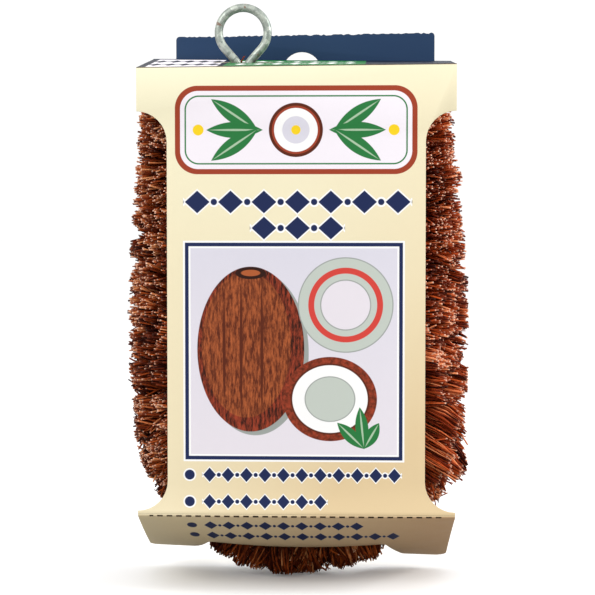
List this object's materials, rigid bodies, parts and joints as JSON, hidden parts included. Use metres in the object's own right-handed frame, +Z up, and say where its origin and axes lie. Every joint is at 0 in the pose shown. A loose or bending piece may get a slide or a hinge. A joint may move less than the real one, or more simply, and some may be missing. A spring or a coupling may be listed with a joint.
{
  "type": "coconut fibre scrubber",
  "caption": "Coir scrubbing brush twisted into a bent wire with a hanging ring, held in a folding printed card sleeve with a hang hole.",
  "frame": {"origin": "centre of the round hang hole, on the rear face of the card's back panel", "axes": "+X to the right as seen from the front, +Y out of the back of the card, +Z up towards the hanging ring"},
  "size_m": [0.0954, 0.039, 0.1609],
  "materials": {
    "printed_card": "satin print",
    "galvanised_wire": "dull zinc",
    "coir_fibre": "coarse fibre"
  },
  "bodies": {
    "pack": {"card_back_panel": "printed_card", "card_top_panel": "printed_card", "core_wire": "galvanised_wire", "coir_bundle_01": "coir_fibre", "coir_bundle_02": "coir_fibre", "coir_bundle_03": "coir_fibre", "coir_bundle_04": "coir_fibre", "coir_bundle_05": "coir_fibre", "coir_bundle_06": "coir_fibre", "coir_bundle_07": "coir_fibre", "coir_bundle_08": "coir_fibre", "coir_bundle_09": "coir_fibre", "coir_bundle_10": "coir_fibre", "coir_bundle_11": "coir_fibre", "coir_bundle_12": "coir_fibre", "coir_bundle_13": "coir_fibre", "coir_bundle_14": "coir_fibre", "coir_bundle_15": "coir_fibre", "coir_bundle_16": "coir_fibre", "coir_bundle_17": "coir_fibre", "coir_bundle_18": "coir_fibre", "coir_bundle_19": "coir_fibre", "coir_bundle_20": "coir_fibre", "coir_bundle_21": "coir_fibre", "coir_bundle_22": "coir_fibre", "coir_bundle_23": "coir_fibre", "coir_bundle_24": "coir_fibre"},
    "front_panel": {"card_front_panel": "printed_card"},
    "base_flap": {"card_base_flap": "printed_card"}
  },
  "joints": [
    {"name": "front_panel_fold", "type": "hinge", "parent": "pack", "child": "front_panel", "pos_m": [0, -0.03875, -0.0012], "axis": [-1, 0, 0], "range_deg": [0, 120]},
    {"name": "base_flap_fold", "type": "hinge", "parent": "front_panel", "child": "base_flap", "pos_m": [0, -0.03875, -0.1224], "axis": [-1, 0, 0], "range_deg": [0, 110]}
  ]
}
